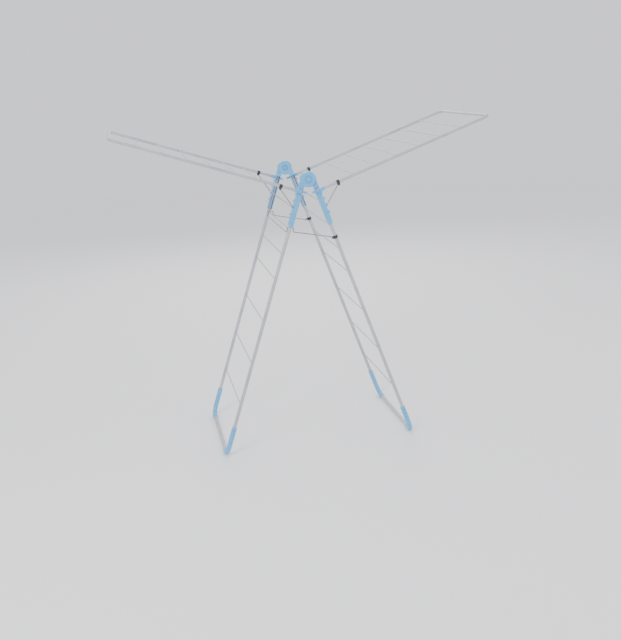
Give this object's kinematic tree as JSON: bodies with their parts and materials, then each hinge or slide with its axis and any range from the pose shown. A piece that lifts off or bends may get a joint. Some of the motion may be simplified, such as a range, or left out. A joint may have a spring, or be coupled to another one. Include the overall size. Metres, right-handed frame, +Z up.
{
  "type": "clothes drying rack",
  "caption": "Folding clothes drying rack: two hinged tube leg frames with cross rungs, and two raised wings held up by wire props in toothed plastic knuckles.",
  "frame": {"origin": "on the floor, midway between the four feet", "axes": "+X out along the right wing, +Y towards the rear of the rack, +Z up"},
  "size_m": [1.4986, 0.572, 1.3274],
  "materials": {
    "white_powder_coat": "white powder coat, satin",
    "white_wire": "white powder-coated wire, satin",
    "blue_plastic": "light blue moulded plastic, soft gloss",
    "black_plastic": "black moulded plastic",
    "grey_wire": "zinc-plated wire",
    "steel_pin": "dull zinc-plated steel"
  },
  "bodies": {
    "left_leg": {"left_leg_tube": "white_powder_coat", "left_leg_rung_1": "white_wire", "left_leg_rung_2": "white_wire", "left_leg_rung_3": "white_wire", "left_leg_rung_4": "white_wire", "left_leg_rung_5": "white_wire", "left_leg_rung_6": "white_wire", "left_front_knuckle": "blue_plastic", "left_front_foot_sleeve": "blue_plastic", "left_front_wing_pin": "steel_pin", "left_rear_knuckle": "blue_plastic", "left_rear_foot_sleeve": "blue_plastic", "left_rear_wing_pin": "steel_pin", "front_main_pin": "blue_plastic", "rear_main_pin": "blue_plastic", "front_pin_cap": "blue_plastic", "rear_pin_cap": "blue_plastic"},
    "left_wing": {"left_wing_tube": "white_powder_coat", "left_wing_rung_1": "white_wire", "left_wing_rung_2": "white_wire", "left_wing_rung_3": "white_wire", "left_wing_rung_4": "white_wire", "left_wing_rung_5": "white_wire", "left_wing_rung_6": "white_wire", "left_front_wing_joint": "blue_plastic", "left_front_prop_clip": "black_plastic", "left_rear_wing_joint": "blue_plastic", "left_rear_prop_clip": "black_plastic"},
    "left_prop": {"left_prop": "grey_wire"},
    "right_leg": {"right_leg_tube": "white_powder_coat", "right_leg_rung_1": "white_wire", "right_leg_rung_2": "white_wire", "right_leg_rung_3": "white_wire", "right_leg_rung_4": "white_wire", "right_leg_rung_5": "white_wire", "right_leg_rung_6": "white_wire", "right_front_knuckle": "blue_plastic", "right_front_foot_sleeve": "blue_plastic", "right_front_wing_pin": "steel_pin", "right_rear_knuckle": "blue_plastic", "right_rear_foot_sleeve": "blue_plastic", "right_rear_wing_pin": "steel_pin", "front_spreader_clip": "black_plastic", "rear_spreader_clip": "black_plastic"},
    "right_wing": {"right_wing_tube": "white_powder_coat", "right_wing_rung_1": "white_wire", "right_wing_rung_2": "white_wire", "right_wing_rung_3": "white_wire", "right_wing_rung_4": "white_wire", "right_wing_rung_5": "white_wire", "right_wing_rung_6": "white_wire", "right_front_wing_joint": "blue_plastic", "right_front_prop_clip": "black_plastic", "right_rear_wing_joint": "blue_plastic", "right_rear_prop_clip": "black_plastic"},
    "right_prop": {"right_prop": "grey_wire"},
    "spreader": {"spreader": "grey_wire"}
  },
  "joints": [
    {"name": "right_leg_fold", "type": "hinge", "parent": "left_leg", "child": "right_leg", "pos_m": [0, 0, 1.12035], "axis": [0, 1, 0], "range_deg": [0, 38]},
    {"name": "left_wing_fold", "type": "hinge", "parent": "left_leg", "child": "left_wing", "pos_m": [-0.03395, 0, 1.07704], "axis": [0, -1, 0], "range_deg": [0, 83]},
    {"name": "left_prop_swing", "type": "hinge", "parent": "left_wing", "child": "left_prop", "pos_m": [-0.11663, 0, 1.09494], "axis": [0, 1, 0], "range_deg": [0, 144.1]},
    {"name": "right_wing_fold", "type": "hinge", "parent": "right_leg", "child": "right_wing", "pos_m": [0.03395, 0, 1.07704], "axis": [0, 1, 0], "range_deg": [0, 83]},
    {"name": "right_prop_swing", "type": "hinge", "parent": "right_wing", "child": "right_prop", "pos_m": [0.11663, 0, 1.09494], "axis": [0, -1, 0], "range_deg": [0, 144.1]},
    {"name": "spreader_swing", "type": "hinge", "parent": "right_leg", "child": "spreader", "pos_m": [0.08964, 0, 0.88152], "axis": [0, 1, 0], "range_deg": [0, 38.1]}
  ],
  "couplings": [
    {"joint": "left_prop_swing", "follows": "left_wing_fold", "ratio": 1.735},
    {"joint": "right_prop_swing", "follows": "right_wing_fold", "ratio": 1.735},
    {"joint": "spreader_swing", "follows": "right_leg_fold", "ratio": 1}
  ]
}
